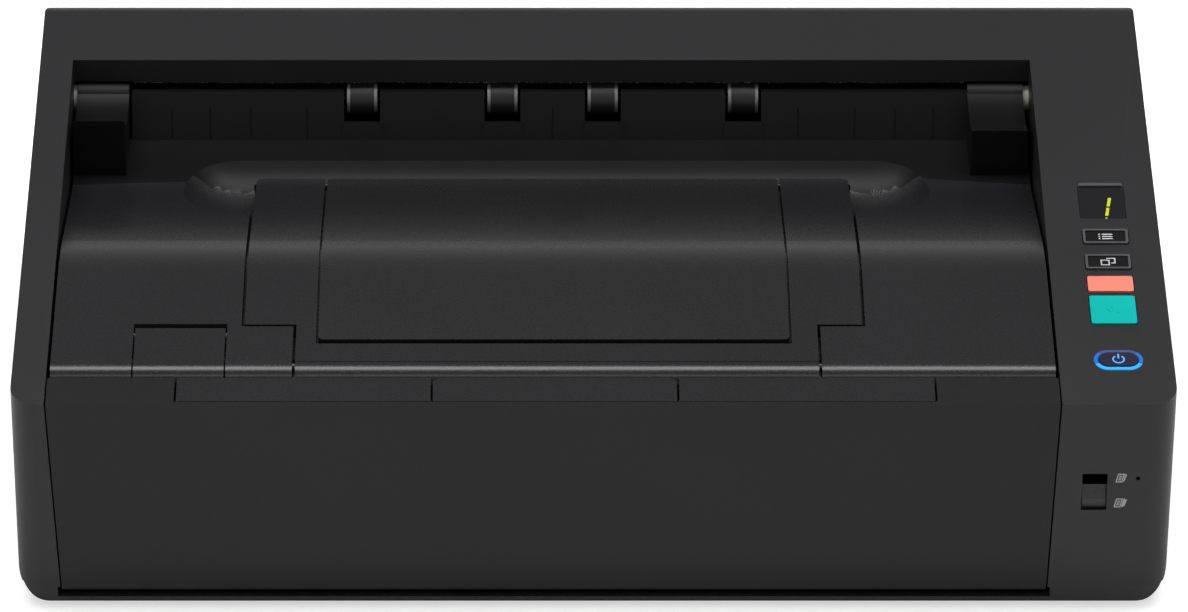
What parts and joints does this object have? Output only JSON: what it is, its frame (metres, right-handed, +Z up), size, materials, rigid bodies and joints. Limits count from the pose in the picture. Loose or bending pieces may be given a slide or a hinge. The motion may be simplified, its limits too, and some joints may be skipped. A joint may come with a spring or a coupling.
{
  "type": "document scanner",
  "caption": "Low desktop sheet-fed scanner: wedge casing with two arms, a hinged upper unit with a flip-up eject tray between them, a drop-down feed tray in front and keys on the right arm.",
  "frame": {"origin": "on the table under the middle of the casing", "axes": "+X to the right seen from the front, +Y to the back, +Z up"},
  "size_m": [0.424, 0.246, 0.1193],
  "materials": {
    "casing": "satin",
    "cover": "satin",
    "inner": "matte",
    "gear_white": "satin",
    "steel": "satin",
    "roller_rubber": "matte",
    "feed_rubber": "matte",
    "belt_rubber": "matte",
    "foot_rubber": "matte",
    "brush": "matte",
    "glass": "polished",
    "window": "gloss",
    "circuit": "satin",
    "key_black": "satin",
    "key_salmon": "satin",
    "key_teal": "satin",
    "key_navy": "satin",
    "ring_blue": "gloss",
    "socket": "satin",
    "brass": "satin",
    "selector_grey": "satin"
  },
  "bodies": {
    "chassis": {"base_casing": "casing", "casing_screws": "steel", "rubber_feet": "foot_rubber", "top_casing": "casing", "side_frame_left": "steel", "side_frame_right": "steel", "shaft_bushes": "gear_white", "hinge_bushes": "gear_white", "lower_paper_guide": "inner", "rear_turn_guide": "inner", "lower_image_sensor": "inner", "lower_sensor_glass": "glass", "eject_pinch_bracket": "inner", "drive_motor": "steel", "feed_motor": "steel", "timing_belt": "belt_rubber", "antistatic_brush": "brush", "rear_cover": "casing", "main_board": "circuit", "dc_inlet": "key_black", "usb_port": "socket", "display_window": "window", "panel_board": "circuit", "power_ring": "ring_blue"},
    "upper_unit": {"unit_cover": "cover", "unit_chassis": "inner", "upper_image_sensor": "inner", "upper_sensor_glass": "glass", "hinge_cover_left": "cover", "hinge_cover_right": "cover", "pinch_springs": "steel"},
    "eject_tray": {"eject_tray": "cover"},
    "eject_extension": {"eject_extension": "cover"},
    "open_lever": {"open_lever": "cover"},
    "latch_shaft": {"latch_shaft": "steel"},
    "feed_tray": {"feed_tray": "casing"},
    "tray_extension": {"tray_extension": "cover"},
    "tip_extension": {"tip_extension": "cover"},
    "guide_left": {"guide_left": "inner"},
    "guide_right": {"guide_right": "inner"},
    "guide_pinion": {"guide_pinion": "gear_white"},
    "feed_roller": {"feed_roller": "feed_rubber"},
    "feed_pinion": {"feed_pinion": "brass"},
    "retard_roller": {"retard_roller": "feed_rubber"},
    "registration_roller": {"registration_roller": "roller_rubber"},
    "transport_roller": {"transport_roller": "roller_rubber"},
    "registration_pinch": {"registration_pinch": "gear_white"},
    "transport_pinch": {"transport_pinch": "gear_white"},
    "drive_pulley": {"drive_pulley": "gear_white"},
    "idler_gear": {"idler_gear": "gear_white"},
    "eject_rollers": {"eject_shaft": "steel", "eject_tyres": "roller_rubber"},
    "eject_pinch": {"eject_pinch": "gear_white"},
    "mode_key": {"mode_key": "key_black"},
    "menu_key": {"menu_key": "key_black"},
    "stop_button": {"stop_button": "key_salmon"},
    "start_button": {"start_button": "key_teal"},
    "power_button": {"power_button": "key_navy"},
    "feed_selector": {"feed_selector": "selector_grey"}
  },
  "joints": [
    {"name": "unit_hinge", "type": "hinge", "parent": "chassis", "child": "upper_unit", "pos_m": [0, 0.0847, 0.097], "axis": [-1, 0, 0], "range_deg": [0, 35]},
    {"name": "tray_hinge", "type": "hinge", "parent": "upper_unit", "child": "eject_tray", "pos_m": [0, -0.0985, 0.09], "axis": [1, 0, 0], "range_deg": [0, 140]},
    {"name": "extension_hinge", "type": "hinge", "parent": "eject_tray", "child": "eject_extension", "pos_m": [0, 0.0462, 0.08025], "axis": [-1, 0, 0], "range_deg": [0, 110]},
    {"name": "lever_hinge", "type": "hinge", "parent": "upper_unit", "child": "open_lever", "pos_m": [0, -0.0805, 0.09177], "axis": [-1, 0, 0], "range_deg": [0, 14], "stiffness_Nm_per_rad": 0.15, "springref_deg": -20.05},
    {"name": "latch_turn", "type": "hinge", "parent": "upper_unit", "child": "latch_shaft", "pos_m": [0, -0.077, 0.078], "axis": [-1, 0, 0], "range_deg": [0, 14]},
    {"name": "feed_tray_hinge", "type": "hinge", "parent": "chassis", "child": "feed_tray", "pos_m": [0, -0.117, 0.0125], "axis": [1, 0, 0], "range_deg": [0, 80]},
    {"name": "tray_extension_slide", "type": "slide", "parent": "feed_tray", "child": "tray_extension", "axis": [0, 0, 1], "range_m": [0, 0.06]},
    {"name": "tip_extension_slide", "type": "slide", "parent": "tray_extension", "child": "tip_extension", "axis": [0, 0, 1], "range_m": [0, 0.06]},
    {"name": "guide_left_slide", "type": "slide", "parent": "feed_tray", "child": "guide_left", "axis": [1, 0, 0], "range_m": [0, 0.11]},
    {"name": "guide_right_slide", "type": "slide", "parent": "feed_tray", "child": "guide_right", "axis": [-1, 0, 0], "range_m": [0, 0.11]},
    {"name": "guide_pinion_spin", "type": "hinge", "parent": "feed_tray", "child": "guide_pinion", "pos_m": [-0.0143, -0.1168, 0.048], "axis": [0, -1, 0], "range_deg": [0, 1320]},
    {"name": "feed_roller_spin", "type": "hinge", "parent": "chassis", "child": "feed_roller", "pos_m": [0, -0.063, 0.024], "axis": [1, 0, 0], "continuous": true},
    {"name": "feed_pinion_spin", "type": "hinge", "parent": "chassis", "child": "feed_pinion", "pos_m": [0, -0.04252, 0.02039], "axis": [1, 0, 0], "continuous": true},
    {"name": "retard_roller_spin", "type": "hinge", "parent": "upper_unit", "child": "retard_roller", "pos_m": [0, -0.07464, 0.04419], "axis": [1, 0, 0], "continuous": true},
    {"name": "transport_spin", "type": "hinge", "parent": "chassis", "child": "transport_roller", "pos_m": [0, 0.04, 0.0343], "axis": [1, 0, 0], "continuous": true},
    {"name": "registration_spin", "type": "hinge", "parent": "chassis", "child": "registration_roller", "pos_m": [0, -0.031, 0.0343], "axis": [1, 0, 0], "continuous": true},
    {"name": "drive_pulley_spin", "type": "hinge", "parent": "chassis", "child": "drive_pulley", "pos_m": [0, 0.005, 0.022], "axis": [1, 0, 0], "continuous": true},
    {"name": "idler_gear_spin", "type": "hinge", "parent": "chassis", "child": "idler_gear", "pos_m": [0, 0.0691, 0.07472], "axis": [1, 0, 0], "continuous": true},
    {"name": "eject_spin", "type": "hinge", "parent": "chassis", "child": "eject_rollers", "pos_m": [0, 0.0847, 0.097], "axis": [1, 0, 0], "continuous": true},
    {"name": "eject_pinch_spin", "type": "hinge", "parent": "chassis", "child": "eject_pinch", "pos_m": [0, 0.0899, 0.10601], "axis": [1, 0, 0], "continuous": true},
    {"name": "registration_pinch_spin", "type": "hinge", "parent": "upper_unit", "child": "registration_pinch", "pos_m": [0, -0.031, 0.0511], "axis": [1, 0, 0], "continuous": true},
    {"name": "transport_pinch_spin", "type": "hinge", "parent": "upper_unit", "child": "transport_pinch", "pos_m": [0, 0.04, 0.0511], "axis": [1, 0, 0], "continuous": true},
    {"name": "mode_key_press", "type": "slide", "parent": "chassis", "child": "mode_key", "axis": [0, 0.1253, -0.9921], "range_m": [0, 0.0008], "stiffness_N_per_m": 400, "springref_m": -0.0006},
    {"name": "menu_key_press", "type": "slide", "parent": "chassis", "child": "menu_key", "axis": [0, 0.1253, -0.9921], "range_m": [0, 0.0008], "stiffness_N_per_m": 400, "springref_m": -0.0006},
    {"name": "stop_button_press", "type": "slide", "parent": "chassis", "child": "stop_button", "axis": [0, 0.1253, -0.9921], "range_m": [0, 0.0008], "stiffness_N_per_m": 400, "springref_m": -0.0006},
    {"name": "start_button_press", "type": "slide", "parent": "chassis", "child": "start_button", "axis": [0, 0.1253, -0.9921], "range_m": [0, 0.0008], "stiffness_N_per_m": 400, "springref_m": -0.0006},
    {"name": "power_button_press", "type": "slide", "parent": "chassis", "child": "power_button", "axis": [0, 0.1253, -0.9921], "range_m": [0, 0.0008], "stiffness_N_per_m": 400, "springref_m": -0.0006},
    {"name": "feed_selector_slide", "type": "slide", "parent": "chassis", "child": "feed_selector", "axis": [0, 0, 1], "range_m": [0, 0.0076]}
  ],
  "couplings": [
    {"joint": "latch_turn", "follows": "lever_hinge", "ratio": 1},
    {"joint": "guide_right_slide", "follows": "guide_left_slide", "ratio": 1},
    {"joint": "guide_pinion_spin", "follows": "guide_left_slide", "rad_per_m": 208.33},
    {"joint": "feed_pinion_spin", "follows": "feed_roller_spin", "ratio": -3.3333},
    {"joint": "retard_roller_spin", "follows": "feed_roller_spin", "ratio": -1.0909},
    {"joint": "registration_spin", "follows": "transport_spin", "ratio": 1},
    {"joint": "drive_pulley_spin", "follows": "transport_spin", "ratio": 1.6},
    {"joint": "idler_gear_spin", "follows": "transport_spin", "ratio": 1},
    {"joint": "eject_spin", "follows": "transport_spin", "ratio": -1.125},
    {"joint": "eject_pinch_spin", "follows": "transport_spin", "ratio": 1.7156},
    {"joint": "registration_pinch_spin", "follows": "transport_spin", "ratio": -1.2},
    {"joint": "transport_pinch_spin", "follows": "transport_spin", "ratio": -1.2}
  ]
}
